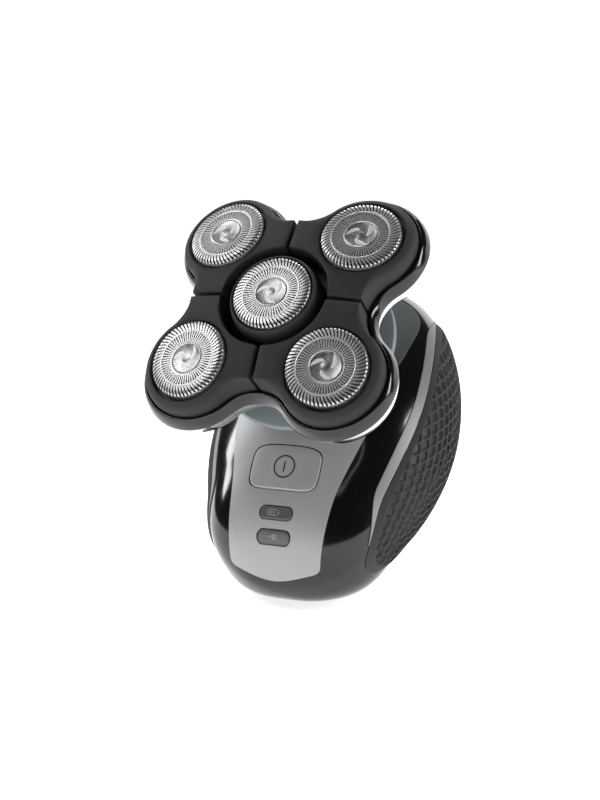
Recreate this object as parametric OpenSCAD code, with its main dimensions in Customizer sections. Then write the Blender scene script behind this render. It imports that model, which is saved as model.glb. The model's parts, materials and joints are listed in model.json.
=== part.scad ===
// Palm-held rotary head shaver with five cutters, standing on its foot pad.
// Millimetres, +Z up, front towards -Y, origin at the centre of the flat base.

/* [Body] */
// Half of the body's width
body_half_w = 36.8; // [32:0.1:42]
// Half of the body's length, along its leaning axis
body_half_l = 58; // [52:0.5:66]
// Half of the body's thickness, across its leaning axis
body_half_t = 28.3; // [26:0.1:33]
// Lean of the body's long axis above the floor, in degrees
body_lean = 41.7; // [40:0.1:44]
// Wall of the two housings
wall = 2.2; // [1.8:0.1:2.6]
// Depth of the pockets for the panel, deck, strips and grips
skin_t = 1.2; // [0.8:0.1:1.4]
// Gap between neighbouring skins
skin_gap = 0.15; // [0.1:0.01:0.3]
// Height of the two grips over the body
grip_rise = 0.8; // [0.4:0.1:1.2]

/* [Front panel] */
// Half of the panel's width at its foot
panel_half_low = 14; // [11:0.5:16]
// Half of the panel's width under the head
panel_half_high = 22.5; // [19:0.5:24]
// Width of the power button
button_w = 22.4; // [18:0.1:25]
// Height of the power button
button_h = 14; // [11:0.1:16]
// Travel of the power button
button_travel = 0.7; // [0.4:0.1:1]
// Length of an indicator lens
lens_l = 10.4; // [8:0.1:12]
// Height of an indicator lens
lens_h = 3.8; // [3:0.1:4.5]

/* [Head] */
// Tilt of the head's face about the X axis, in degrees
head_tilt = 53.7; // [50:0.1:57]
// Distance of a corner cutter from the centre, along X and along Y
lobe_pitch = 20.7; // [19.5:0.1:24]
// Radius of the casing round a corner cutter
lobe_r = 17; // [16.5:0.1:19]
// Distance from the centre to the hollow between two lobes
crotch_r = 28; // [26.5:0.1:29.5]
// Radius of the dome that the five cutters lie on
dome_r = 187; // [150:1:260]
// Gap between two petals
petal_gap = 1.3; // [1:0.1:1.6]
// Wall of a petal
petal_wall = 1.4; // [1.1:0.1:1.6]
// Tilt of a petal, each way, in degrees
petal_swing = 2.5; // [1:0.1:3]
// Travel of the centre cutter
centre_travel = 1.2; // [0.5:0.1:1.5]

/* [Cutters] */
// Radius of a guard
guard_r = 11.25; // [10:0.05:11.5]
// Sheet thickness of a guard
guard_t = 0.6; // [0.4:0.05:0.7]
// Slots in each of a guard's two rings
guard_slots = 24; // [12:1:30]
// Gap between a guard and its cutter
cutter_gap = 0.15; // [0.1:0.01:0.3]
// Blades on a cutter
blades = 9; // [6:1:15]

/* [Drive] */
// Teeth of the sun gear, and of each gear that it turns
head_teeth = 24; // [20:2:30]
// Teeth of the drive gear
drive_teeth = 24; // [20:1:28]
// Teeth of the motor pinion
pinion_teeth = 12; // [10:1:14]
// Distance between the motor's axis and the drive gear's axis
motor_offset = 9; // [8:0.1:10]
// Radius of the motor can
motor_r = 11; // [9:0.1:12]
// Length of the motor can
motor_l = 27; // [22:0.5:30]
// Radial clearance of a shaft in its hole
shaft_gap = 0.05; // [0.02:0.01:0.1]

/* [Power] */
// Radius of the battery cell
cell_r = 7; // [6:0.1:8]
// Length of the battery cell
cell_l = 43; // [36:0.5:46]
// Width of the charging socket's mouth
port_w = 9.4; // [8:0.1:10]
// Height of the charging socket's mouth
port_h = 3.4; // [3:0.1:4]

/* [Foot] */
// Half of the foot pad's width
foot_half_w = 10; // [9:0.5:12]
// Front of the foot pad
foot_front = -15; // [-16:0.5:-13]
// Back of the foot pad
foot_back = 15; // [14:0.5:18]
// Height of the foot pad
foot_h = 9; // [8:0.5:10]

/* [Hidden] */
eps = 0.01;

// Body: a rounded egg on a leaning axis, with local Y along the axis and local Z to the front
body_y = 17.2;
body_z = 43.4;
section_power = 2.2;
profile_power = 1.9;
body_steps = 16;
section_sides = 32;
seam_c = -9;
tongue_half_w = 14.2;
tongue_s = -42;
grip_axes = [46.5, 17.6];
strip_axes = [50, 19.6];
side_x = 12;
port_y = -18.6;
port_z = 6.3;
port_lean = 50;
port_l = 8;
screw_places = [[14.8, -31], [12, 38]];
screw_column_r = 3;
screw_seat_c = 1;
screw_l = 15;
screw_r = 1;
screw_head_r = 1.9;
screw_turn = 7;
deck_end_s = 45;
deck_half_w = 23.4;
deck_drop = 0.35;
panel_top_s = -4;
panel_foot_s = -57;

// Head: local Z is the face normal, and the centre guard's top is at the origin
head_y = -30;
head_z = 91.2;
corner_dist = lobe_pitch * sqrt(2);
lobe_tilt = asin(corner_dist / dome_r);
lobe_drop = dome_r - sqrt(dome_r * dome_r - corner_dist * corner_dist);
rise = crotch_r - lobe_pitch;
fillet_r = (lobe_pitch * lobe_pitch + rise * rise - lobe_r * lobe_r) / (2 * (lobe_r - rise));
fillet_d = crotch_r + fillet_r;
tangent_a = atan2(-lobe_pitch, fillet_d - lobe_pitch);
lobe_steps = 16;
fillet_steps = 5;

casing_top = -9.2;
casing_low = -13;
trim_low = -17.6;
floor_t = 1.4;
floor_z = trim_low + floor_t;
gear_low = floor_z + 0.3;
gear_t = 2;
plate_low = gear_low + gear_t + 0.4;
plate_t = 1;
plate_z = plate_low + plate_t;
petal_low = plate_z + (corner_dist + lobe_r - 19) * sin(petal_swing) + 0.6;
petal_inset = 2.3;
petal_hole_r = guard_r + 0.75;
petal_top = -0.9;
centre_r = 15.75;
cone_r = 13.2;
cone_wall = 1.2;
// The cone stays its travel above the gear plate's top, and a petal its swing.
cone_low = plate_z + centre_travel + 1.9;

// Drive train
spindle_depth = 6.5;
planet_dist = corner_dist - spindle_depth * sin(lobe_tilt);
head_module = planet_dist / head_teeth;
body_module = 2 * motor_offset / (drive_teeth + pinion_teeth);
pin_r = 1;
spindle_r = 1.5;
socket_r = 2.4;
hub_r = 3.4;
hub_low = -8.6;
blade_z = -guard_t - 0.12 - cutter_gap;
blade_h = 0.7;
blade_in = 5;
blade_out = 8.5;
cutter_t = 0.7;
frame_t = 1.2;
frame_r = petal_hole_r + 0.9;
flange_z = -3.2;
flange_t = 0.6;
frame_low = flange_z - flange_t - frame_t;
hinge_dist = 19.2;
hinge_z = -8.7;
hinge_pin_r = 0.9;
hinge_lug_r = 1.7;
hinge_lug_w = 9;
head_screw_r = 0.8;
head_screw_l = 2.4;

// Neck
collar_r = 27.1;
collar_z = -28.5;
collar_t = 2.6;
skirt_r = 19;
skirt_gap = 0.2;
tongue_r = 14;
tongue_low = -33;
post_r = 20;
post_low = -45;
shaft_r = 2.5;
drive_z = -48.3;
drive_t = 3;
motor_top = drive_z - 3.2;

// ---- places ----
module body_frame() translate([0, body_y, body_z]) rotate([body_lean, 0, 0]) children();
module head_frame() translate([0, head_y, head_z]) rotate([head_tilt, 0, 0]) children();
function lobe_dir(i) = let (a = 45 + 90 * (i - 1)) [cos(a), sin(a)];
// Places 1 to 4 are the corners, anticlockwise from the upper right, and 5 is the centre.
module at_lobe(i) {
    d = lobe_dir(i);
    if (i == 5) children();
    else translate([d[0] * corner_dist, d[1] * corner_dist, -lobe_drop])
        rotate(a = lobe_tilt, v = [-d[1], d[0], 0]) children();
}

// ---- body form ----
function super_point(a, w, t) = [
    w * sign(cos(a)) * pow(abs(cos(a)), 2 / section_power),
    t * sign(sin(a)) * pow(abs(sin(a)), 2 / section_power)];
function slice_points(i, inset) = let (
    s = sin(-90 + 180 * i / body_steps),
    k = max(pow(max(1 - pow(abs(s), profile_power), 0), 1 / profile_power), 0.03))
    [for (j = [0 : section_sides - 1]) let (
        p = super_point(360 * j / section_sides, (body_half_w - inset) * k, (body_half_t - inset) * k))
        [p[0], (body_half_l - inset) * s, p[1]]];
module body_form(inset) {
    both = [for (j = [0 : 2 * section_sides - 1]) j];
    for (i = [0 : body_steps - 1]) hull()
        polyhedron(concat(slice_points(i, inset), slice_points(i + 1, inset)), [both]);
}
module body_skin(outer, inner) difference() {
    body_form(outer);
    body_form(inner);
}

// ---- outlines cut into the body ----
// The panel's and the deck's outlines are seen along local Z, the grip's along local X.
function front_half(s) = panel_half_low + (panel_half_high - panel_half_low)
    * min(max((s - panel_foot_s) / (panel_top_s - panel_foot_s), 0), 1);
module panel_outline(grow) {
    steps = 8;
    side = [for (i = [0 : steps]) panel_foot_s + (panel_top_s - panel_foot_s) * i / steps];
    offset(delta = grow) polygon(concat(
        [for (s = side) [front_half(s), s]],
        [for (i = [steps : -1 : 0]) [-front_half(side[i]), side[i]]]));
}
module deck_outline(grow) offset(delta = grow) hull() {
    corner_r = 13;
    translate([-front_half(0), panel_top_s + 2 * skin_gap]) square([2 * front_half(0), 1]);
    for (x = [-1, 1]) translate([x * (deck_half_w - corner_r), deck_end_s - corner_r])
        circle(corner_r, $fn = 36);
}
module front_prism() linear_extrude(body_half_t + 5) children();
module oval(axes, grow) scale([axes[0] + grow, axes[1] + grow]) circle(1, $fn = 56);
module side_prism(side) translate([side * side_x, 0, 0]) rotate([90, 0, side * 90])
    linear_extrude(body_half_w) children();
module panel_cut(grow) front_prism() panel_outline(grow);
module deck_cut(grow) front_prism() deck_outline(grow);
module strip_outline(grow) intersection() {
    oval(strip_axes, grow);
    translate([-2 * body_half_l, -grow]) square([4 * body_half_l, 2 * body_half_t]);
}
module side_pocket(side) side_prism(side) {
    oval(grip_axes, skin_gap);
    strip_outline(skin_gap);
}
module skin_pockets() difference() {
    union() {
        panel_cut(skin_gap);
        deck_cut(skin_gap);
        for (side = [-1, 1]) side_pocket(side);
    }
    body_form(skin_t + deck_drop + skin_gap);
}

// ---- panel features ----
// A place on the panel: s along the body, at the body's surface on the middle line.
function form_c(s) = body_half_t
    * pow(1 - pow(abs(s) / body_half_l, profile_power), 1 / profile_power);
button_s = -29.5;
battery_s = -42.7;
charge_s = -48.5;
button_t = 4.4;
button_gap = 0.3;
board_t = 1.2;
module on_panel(s) {
    step = 0.5;
    slope = atan2(form_c(s + step) - form_c(s - step), 2 * step);
    translate([0, s, form_c(s)]) rotate([slope, 0, 0]) children();
}
module pill(w, h, r) hull() for (x = [-1, 1], y = [-1, 1])
    translate([x * (w / 2 - r), y * (h / 2 - r)]) circle(r, $fn = 24);
module button_shape(grow) offset(delta = grow) pill(button_w, button_h, 4.6);
module lens_shape(grow) offset(delta = grow) pill(lens_l, lens_h, lens_h / 2 - eps);
module panel_holes(grow) {
    on_panel(button_s) translate([0, 0, -8]) linear_extrude(14) button_shape(grow);
    for (s = [battery_s, charge_s])
        on_panel(s) translate([0, 0, -8]) linear_extrude(14) lens_shape(grow);
}

// ---- shells of the body ----
module seam_region(grow) {
    translate([-60, -80, -60]) cube([120, 160, 60 + seam_c + grow]);
    translate([-tongue_half_w - grow, -80, -60])
        cube([2 * (tongue_half_w + grow), 80 + tongue_s + grow, 75]);
}
module foot_prism(grow) translate([0, 0, -grow]) linear_extrude(foot_h + 2 * grow) offset(delta = grow)
    translate([0, (foot_front + foot_back) / 2]) pill(2 * foot_half_w, foot_back - foot_front, 6);
module port_place() translate([0, port_y, port_z]) rotate([port_lean, 0, 0]) children();
module port_block(grow) port_place() rotate([90, 0, 0])
    linear_extrude(port_l + 2 * grow, center = true)
        offset(delta = grow) pill(port_w + 2.4, port_h + 2.4, 1.4);
module at_screws() for (x = [-1, 1], p = screw_places) translate([x * p[0], p[1], 0]) children();
// A column ends in the housing's wall, just under the surface at its outer edge.
function column_end(p) = let (s = abs(p[1]) + screw_column_r, k = form_c(s) / body_half_t)
    form_c(s) * pow(1 - pow((p[0] + screw_column_r) / (body_half_w * k), section_power),
        1 / section_power) - 0.4;
module screw_columns() for (x = [-1, 1], p = screw_places) translate([x * p[0], p[1], 0]) rotate(screw_turn)
    cylinder(h = 2 * column_end(p), r = screw_column_r, center = true, $fn = 20);
module screw_bores() at_screws() rotate(screw_turn) {
    translate([0, 0, screw_seat_c - screw_l - 1]) cylinder(h = screw_l + 2, r = screw_r + 0.05, $fn = 20);
    translate([0, 0, screw_seat_c]) cylinder(h = body_half_t, r = screw_head_r + 0.2, $fn = 20);
}
module post_hole() head_frame() translate([0, 0, post_low - 25])
    cylinder(h = 60, r = post_r + skin_gap, $fn = 40);
module housing_blank() difference() {
    body_frame() difference() {
        union() {
            body_skin(0, wall);
            screw_columns();
        }
        skin_pockets();
        panel_holes(button_gap);
        screw_bores();
    }
    post_hole();
    foot_prism(skin_gap);
    port_block(skin_gap);
}
module front_housing() color("#101112") difference() {
    housing_blank();
    body_frame() seam_region(0);
}
module rear_housing() color("#161718") intersection() {
    housing_blank();
    body_frame() seam_region(-skin_gap);
}
module front_panel() color("#b4b4b6") difference() {
    body_frame() intersection() {
        body_skin(0, skin_t);
        panel_cut(0);
    }
    body_frame() panel_holes(button_gap - 0.05);
    post_hole();
}
module deck_plate() color("#303435") difference() {
    body_frame() intersection() {
        body_skin(deck_drop, deck_drop + skin_t);
        deck_cut(0);
    }
    post_hole();
}
module grip(side) color("#3c3d3e") body_frame() intersection() {
    body_skin(-grip_rise, skin_t);
    side_prism(side) oval(grip_axes, 0);
}
module strip(side) color("#8f9092") body_frame() difference() {
    intersection() {
        body_skin(0, skin_t);
        side_prism(side) difference() {
            strip_outline(0);
            oval(grip_axes, skin_gap);
        }
    }
    deck_cut(skin_gap);
}
module grip_left() grip(-1);
module grip_right() grip(1);
module strip_left() strip(-1);
module strip_right() strip(1);
module foot_pad() color("#1b1c1d") difference() {
    foot_prism(0);
    port_block(skin_gap);
}

// ---- controls ----
module power_button() color("#b4b4b6") body_frame() difference() {
    intersection() {
        on_panel(button_s) translate([0, 0, -button_t]) linear_extrude(button_t + 1) button_shape(0);
        body_form(0);
    }
    on_panel(button_s) translate([0, 0, -0.35]) {
        difference() {
            cylinder(h = 2, r = 3.3, $fn = 64);
            translate([0, 0, -1]) cylinder(h = 4, r = 2.9, $fn = 64);
        }
        translate([-0.25, -1.8, 0]) cube([0.5, 3.6, 2]);
    }
}
module lens(s, tint) color(tint) body_frame() intersection() {
    on_panel(s) translate([0, 0, -2.6]) linear_extrude(3.6) lens_shape(0);
    body_form(0);
}
module battery_lens() lens(battery_s, "#5a5b5d");
module charge_lens() lens(charge_s, "#5a5b5d");
// The switch stands on the board with its plunger a button's travel below the button.
switch_h = 1.6;
plunger_h = 0.9;
board_drop = button_t + button_travel + plunger_h + switch_h + 1;
module board_place() body_frame() on_panel(-36) translate([0, 3, -board_drop]) children();
module board_posts(r, low, high) for (x = [-8, 8]) translate([x, 11.5, low])
    cylinder(h = high - low, r = r, $fn = 32);
module circuit_board() color("#1e5b35") board_place() difference() {
    translate([-10, -13, -board_t]) cube([20, 27, board_t]);
    board_posts(1.1, -2, 1);
}
module button_switch() color("#c8c8c4") board_place() {
    translate([-3, 3, 0]) cube([6, 6, switch_h]);
    translate([0, 6, switch_h]) cylinder(h = plunger_h, r = 1.6, $fn = 40);
}
module indicator_leds() color("#e8e6d8") board_place()
    for (y = [-10.5, -4.8]) translate([-1.6, y, 0]) cube([3.2, 1.6, 1]);
module battery_place() body_frame() translate([0, -20, -6]) rotate([0, 90, 0]) children();
module battery_cell() color("#3f6fb0") battery_place() {
    cylinder(h = cell_l, r = cell_r, center = true, $fn = 64);
    translate([0, 0, cell_l / 2]) cylinder(h = 1.2, r = 2.4, $fn = 40);
}
// A carrier slides over the two lower screw columns and holds the cell, the motor and the board.
module chassis() color("#3a3c3f") difference() {
    union() {
        for (x = [-15, 0, 15]) battery_place() translate([0, 0, x])
            cylinder(h = 3, r = cell_r + 1.6, center = true, $fn = 64);
        motor_place() translate([0, 0, motor_top - 11]) cylinder(h = 11.8, r = motor_r + 1.6, $fn = 96);
        body_frame() translate([-18.6, -35, 1.4]) cube([37.2, 23, 2]);
        body_frame() rotate([90, 0, 90]) linear_extrude(18, center = true)
            polygon([[-16, 1.6], [-16, 3.2], [-2, 3.2], [10, 14], [10, 10], [0, 1.6]]);
        board_place() board_posts(2, -board_t - 16, -board_t);
        board_place() board_posts(1.05, -board_t - 1, -0.4);
    }
    battery_place() cylinder(h = cell_l + 10, r = cell_r + 0.1, center = true, $fn = 64);
    motor_place() translate([0, 0, motor_top - motor_l])
        cylinder(h = motor_l + 1, r = motor_r + 0.1, $fn = 96);
    body_frame() at_screws() cylinder(h = 60, r = screw_column_r + 0.15, center = true, $fn = 20);
}
module battery_tabs() color("#c9c9c9") battery_place() {
    translate([-2, -2, cell_l / 2 + 1.2]) cube([4, 4, 0.4]);
    translate([-2, -2, -cell_l / 2 - 0.4]) cube([4, 4, 0.4]);
}
module charging_socket() color("#0c0c0d") port_place() rotate([90, 0, 0]) difference() {
    linear_extrude(port_l, center = true) pill(port_w + 2.4, port_h + 2.4, 1.4);
    translate([0, 0, 1.2 - port_l / 2]) linear_extrude(port_l) pill(port_w, port_h, 0.8);
    port_pins();
}
module port_pins() for (x = [-1, 1]) translate([x * port_w / 4, 0, -port_l / 2 - 0.4])
    cylinder(h = port_l - 2, r = 0.5, $fn = 32);
module socket_pins() color("#d8c27a") port_place() rotate([90, 0, 0]) port_pins();

// ---- neck ----
module neck_collar() color("#8b9295") head_frame() translate([0, 0, collar_z - collar_t]) difference() {
    union() {
        cylinder(h = collar_t, r = collar_r, $fn = 96);
        translate([0, 0, -1.6]) cylinder(h = 1.6, r = post_r + 2, $fn = 96);
    }
    translate([0, 0, -3]) cylinder(h = 9, r = tongue_r + skin_gap + 0.6, $fn = 96);
}
module neck_post() color("#222526") head_frame() translate([0, 0, post_low]) difference() {
    cylinder(h = collar_z - collar_t - 1.6 - post_low, r = post_r, $fn = 96);
    translate([0, 0, 3]) cylinder(h = 20, r = tongue_r + skin_gap + 0.6, $fn = 96);
    translate([0, 0, -1]) cylinder(h = 9, r = shaft_r + shaft_gap, $fn = 64);
}
module neck_seal() color("#2b2b2b") head_frame() translate([0, 0, tongue_low - 3]) difference() {
    cylinder(h = 1.6, r = tongue_r + skin_gap + 0.6, $fn = 96);
    translate([0, 0, -1]) cylinder(h = 4, r = tongue_r - 2, $fn = 96);
}

// ---- gears ----
function involute_a(r, base) = r <= base ? 0 : tan(acos(base / r)) * 180 / PI - acos(base / r);
module spur_outline(teeth, pitch_module) {
    pressure = 20;
    pitch = teeth * pitch_module / 2;
    base = pitch * cos(pressure);
    outer = pitch + 0.85 * pitch_module;
    root = pitch - 1.15 * pitch_module;
    slack = 6.4 / teeth;
    half = 90 / teeth + involute_a(pitch, base) - slack;
    foot = max(base, root);
    flank = [for (k = [0 : 3]) let (r = foot + (outer - foot) * k / 3) [r, half - involute_a(r, base)]];
    points = [for (n = [0 : teeth - 1]) let (mid = 360 * n / teeth) each concat(
        [[root, mid - half - 0.8]],
        [for (k = [0 : 3]) [flank[k][0], mid - flank[k][1]]],
        [for (k = [3 : -1 : 0]) [flank[k][0], mid + flank[k][1]]],
        [[root, mid + half + 0.8]])];
    polygon([for (p = points) [p[0] * cos(p[1]), p[0] * sin(p[1])]]);
}
module spur(teeth, pitch_module, h) linear_extrude(h) spur_outline(teeth, pitch_module);
// Turn of a gear that meshes, at angle a, with one whose tooth points along +X
function mesh_turn(a, followed, own) = a + 180 - 180 / own + a * followed / own;

// ---- drive in the body ----
module motor_place() head_frame() translate([0, motor_offset, 0]) children();
module motor() color("#a8a9ab") motor_place() translate([0, 0, motor_top - motor_l]) difference() {
    union() {
        cylinder(h = motor_l, r = motor_r, $fn = 96);
        translate([0, 0, motor_l]) cylinder(h = 0.8, r = 3, $fn = 64);
        translate([0, 0, -1.2]) cylinder(h = 1.2, r = 3, $fn = 64);
    }
    translate([0, 0, motor_l - 6]) cylinder(h = 8, r = 1 + shaft_gap, $fn = 48);
}
module motor_pinion() color("#e4e2da") motor_place() {
    translate([0, 0, drive_z]) rotate([0, 0, mesh_turn(90, drive_teeth, pinion_teeth)])
        spur(pinion_teeth, body_module, drive_t);
    translate([0, 0, motor_top - 5]) cylinder(h = drive_z - motor_top + 5, r = 1, $fn = 48);
}
module drive_gear() color("#e4e2da") head_frame() {
    translate([0, 0, drive_z]) spur(drive_teeth, body_module, drive_t);
    translate([0, 0, drive_z - 2.4]) cylinder(h = 2.4, r = shaft_r, $fn = 64);
    translate([0, 0, drive_z + drive_t]) cylinder(h = 20, r = shaft_r, $fn = 64);
    translate([0, 0, drive_z + drive_t + 20]) cylinder(h = 4, r = spindle_r, $fn = 64);
}
module gear_bracket() color("#4a4c4e") head_frame() translate([0, 0, motor_top + 0.8]) difference() {
    translate([-8, -8, 0]) cube([16, 26, 1.2]);
    translate([0, 0, -1]) cylinder(h = 4, r = shaft_r + shaft_gap, $fn = 64);
    translate([0, motor_offset, -1]) cylinder(h = 4, r = 1.6, $fn = 64);
}
module housing_screws() color("#9a9c9e") body_frame() at_screws() translate([0, 0, screw_seat_c]) {
    translate([0, 0, -screw_l]) cylinder(h = screw_l, r = screw_r, $fn = 20);
    cylinder(h = 1.4, r = screw_head_r, $fn = 32);
}

// ---- head outlines ----
function lobe_points(inset) = concat(
    [for (k = [0 : lobe_steps]) let (a = tangent_a + (90 - 2 * tangent_a) * k / lobe_steps)
        [lobe_pitch + (lobe_r - inset) * cos(a), lobe_pitch + (lobe_r - inset) * sin(a)]],
    [for (k = [1 : fillet_steps - 1]) let (a = -(90 + tangent_a) + 2 * tangent_a * k / fillet_steps)
        [(fillet_r + inset) * cos(a), fillet_d + (fillet_r + inset) * sin(a)]]);
function turned(p, a) = [p[0] * cos(a) - p[1] * sin(a), p[0] * sin(a) + p[1] * cos(a)];
function flower(inset) = [for (q = [0 : 3]) for (p = lobe_points(inset)) turned(p, 90 * q)];
module ring_solid(rings) {
    n = len(rings[0]);
    m = len(rings);
    polyhedron([for (r = rings) each r], [for (j = [0 : m - 1]) for (i = [0 : n - 1]) each let (
        a = j * n + i, b = j * n + (i + 1) % n, c = (j + 1) % m * n + (i + 1) % n, d = (j + 1) % m * n + i)
        [[a, d, c], [a, c, b]]]);
}
module flower_band(profile)
    ring_solid([for (p = profile) [for (q = flower(p[0])) [q[0], q[1], p[1]]]]);

module head_casing() color("#0f1011") head_frame() flower_band([
    [1.85, casing_top], [1.35, casing_top - 0.25], [0.6, casing_top - 1.3], [0.1, casing_top - 2.6],
    [0, casing_low], [2.6, casing_low], [2.0, casing_low + 0.9], [1.95, casing_top - 0.3]]);
module trim_ring() color("#d6d7d9") head_frame() flower_band([
    [0.25, casing_low - skin_gap / 2], [0.4, casing_low - 1.5], [0.9, casing_low - 3], [1.7, trim_low],
    [3.2, trim_low], [1.6, floor_z + 0.2], [1.6, casing_low - skin_gap / 2]]);

// ---- head base and gears ----
module at_planet(i) translate([lobe_dir(i)[0] * planet_dist, lobe_dir(i)[1] * planet_dist, 0]) children();
module at_head_screws() for (a = [0 : 90 : 270]) rotate([0, 0, a])
    translate([crotch_r - 6.5, 0, 0]) children();
module head_base() color("#26282a") head_frame() difference() {
    union() {
        translate([0, 0, trim_low]) linear_extrude(floor_t) polygon(flower(3.25));
        translate([0, 0, collar_z + 0.3]) cylinder(h = trim_low - collar_z - 0.3, r = skirt_r, $fn = 96);
        translate([0, 0, tongue_low]) cylinder(h = collar_z - tongue_low + 0.3, r = tongue_r, $fn = 96);
        for (i = [1 : 4]) at_planet(i) translate([0, 0, floor_z])
            cylinder(h = gear_t + 1.2, r = pin_r, $fn = 48);
        at_head_screws() translate([0, 0, floor_z]) cylinder(h = plate_low - floor_z, r = 2.6, $fn = 48);
    }
    at_head_screws() translate([0, 0, plate_low - head_screw_l])
        cylinder(h = 6, r = head_screw_r + 0.02, $fn = 32);
    translate([0, 0, tongue_low - 1]) cylinder(h = 30, r = shaft_r + 2 + shaft_gap, $fn = 64);
}
module planet_gear(i) color("#ece9df") head_frame() at_planet(i) difference() {
    union() {
        translate([0, 0, gear_low]) rotate([0, 0, mesh_turn(45 + 90 * (i - 1), head_teeth, head_teeth)])
            spur(head_teeth, head_module, gear_t);
        translate([0, 0, gear_low + gear_t])
            cylinder(h = -lobe_drop - spindle_depth - gear_low - gear_t + 1, r = spindle_r, $fn = 48);
    }
    translate([0, 0, gear_low - 1]) cylinder(h = gear_t + 2.4, r = pin_r + shaft_gap, $fn = 48);
}
module sun_gear() color("#ece9df") head_frame() difference() {
    union() {
        translate([0, 0, gear_low]) spur(head_teeth, head_module, gear_t);
        translate([0, 0, tongue_low + 1]) cylinder(h = gear_low - tongue_low - 1, r = shaft_r + 2, $fn = 64);
        translate([0, 0, gear_low + gear_t])
            cylinder(h = -spindle_depth - gear_low - gear_t + 1, r = spindle_r, $fn = 48);
    }
    translate([0, 0, tongue_low]) cylinder(h = 16, r = shaft_r + 0.3, $fn = 64);
}
module gear_plate() color("#33363a") head_frame() difference() {
    union() {
        translate([0, 0, plate_low]) linear_extrude(plate_t) polygon(flower(2.9));
        for (i = [1 : 4]) rotate([0, 0, 45 + 90 * (i - 1)]) for (y = [-1, 1])
            translate([hinge_dist - 1.5, y * (hinge_lug_w / 2 + 1.4) - 1, plate_z])
                cube([3, 2, hinge_z + hinge_pin_r + 0.6 - plate_z]);
    }
    for (i = [1 : 4]) at_planet(i) translate([0, 0, plate_low - 1])
        cylinder(h = 4, r = spindle_r + 0.1, $fn = 48);
    translate([0, 0, plate_low - 1]) cylinder(h = 4, r = spindle_r + 0.1, $fn = 48);
    at_head_screws() translate([0, 0, plate_low - 1]) cylinder(h = 4, r = head_screw_r + 0.02, $fn = 32);
    for (i = [1 : 4]) rotate([0, 0, 45 + 90 * (i - 1)]) translate([hinge_dist, 0, hinge_z])
        rotate([90, 0, 0]) cylinder(h = 20, r = hinge_pin_r, center = true, $fn = 48);
}
module hinge_pins() color("#b9bbbd") head_frame()
    for (i = [1 : 4]) rotate([0, 0, 45 + 90 * (i - 1)]) translate([hinge_dist, 0, hinge_z])
        rotate([90, 0, 0]) cylinder(h = hinge_lug_w + 4.6, r = hinge_pin_r, center = true, $fn = 48);
module head_screws() color("#9a9c9e") head_frame() at_head_screws() {
    translate([0, 0, plate_z]) cylinder(h = 1, r = 1.7, $fn = 40);
    translate([0, 0, plate_low - head_screw_l + 0.2])
        cylinder(h = plate_t + head_screw_l, r = head_screw_r, $fn = 32);
}

// ---- petals ----
function dome_z(p) = petal_top - (p[0] * p[0] + p[1] * p[1]) / (2 * dome_r);
function petal_outline(inset, gap, hole) = let (f = fillet_r + inset) concat(
    [for (k = [0 : 6]) let (a = 180 - asin(gap / f) + (tangent_a + asin(gap / f)) * k / 6)
        [fillet_d + f * cos(a), f * sin(a)]],
    [for (k = [1 : 24]) let (a = tangent_a + (90 - 2 * tangent_a) * k / 24)
        [lobe_pitch + (lobe_r - inset) * cos(a), lobe_pitch + (lobe_r - inset) * sin(a)]],
    [for (k = [1 : 6]) let (a = (90 + tangent_a) * (k / 6 - 1) - acos(gap / f) * k / 6)
        [f * cos(a), fillet_d + f * sin(a)]],
    [for (k = [0 : 12]) let (a = acos(gap / hole) + (asin(gap / hole) - acos(gap / hole)) * k / 12)
        [hole * cos(a), hole * sin(a)]]);
function hole_point(p, z) = let (
    a = atan2(p[1] - lobe_pitch, p[0] - lobe_pitch) - 45,
    u = petal_hole_r * cos(a), v = petal_hole_r * sin(a),
    along = corner_dist + u * cos(lobe_tilt) + z * sin(lobe_tilt),
    up = -lobe_drop - u * sin(lobe_tilt) + z * cos(lobe_tilt))
    [(along - v) / sqrt(2), (along + v) / sqrt(2), up];
function at_height(ring, drop) = [for (p = ring) [p[0], p[1], dome_z(p) - drop]];
function at_level(ring, z) = [for (p = ring) [p[0], p[1], z]];
module petal_one() {
    half = petal_gap / 2;
    outer = petal_outline(petal_inset, half, centre_r);
    inner = petal_outline(petal_inset + petal_wall, half + petal_wall, centre_r + petal_wall);
    ring_solid([
        at_level(outer, petal_low),
        at_height(outer, 3.6),
        at_height(petal_outline(petal_inset + 0.3, half, centre_r), 1.9),
        at_height(petal_outline(petal_inset + 1, half + 0.1, centre_r + 0.2), 0.7),
        at_height(petal_outline(petal_inset + 2, half + 0.5, centre_r + 0.6), 0.05),
        [for (p = outer) hole_point(p, petal_top - 0.2)],
        [for (p = outer) hole_point(p, flange_z + 0.6)],
        at_height(inner, 2.0),
        at_level(inner, petal_low)]);
}
module petal(i) color("#232728") head_frame() rotate([0, 0, 90 * (i - 1)]) petal_one();
// Room for the petal's wall round the centre cone
module core_cut() translate([0, 0, casing_low])
    cylinder(h = -casing_low, r = centre_r + petal_wall + 0.2, $fn = 96);
module at_hinge(i) rotate([0, 0, 45 + 90 * (i - 1)]) translate([hinge_dist, 0, hinge_z]) children();
module petal_frame(i) color("#55585a") head_frame() difference() {
    union() {
        at_lobe(i) translate([0, 0, frame_low]) cylinder(h = frame_t, r = frame_r, $fn = 96);
        at_hinge(i) translate([-1.2, -hinge_lug_w / 2, 0]) cube([1.9, hinge_lug_w, 5.6]);
        at_hinge(i) rotate([90, 0, 0]) cylinder(h = hinge_lug_w, r = hinge_lug_r, center = true, $fn = 64);
    }
    at_lobe(i) translate([0, 0, frame_low - 0.5]) cylinder(h = 6, r = blade_out + 0.3, $fn = 96);
    at_lobe(i) translate([0, 0, frame_low + frame_t]) cylinder(h = 6, r = frame_r + 2, $fn = 96);
    at_hinge(i) rotate([90, 0, 0]) cylinder(h = 30, r = hinge_pin_r + shaft_gap, center = true, $fn = 64);
    core_cut();
}

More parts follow.
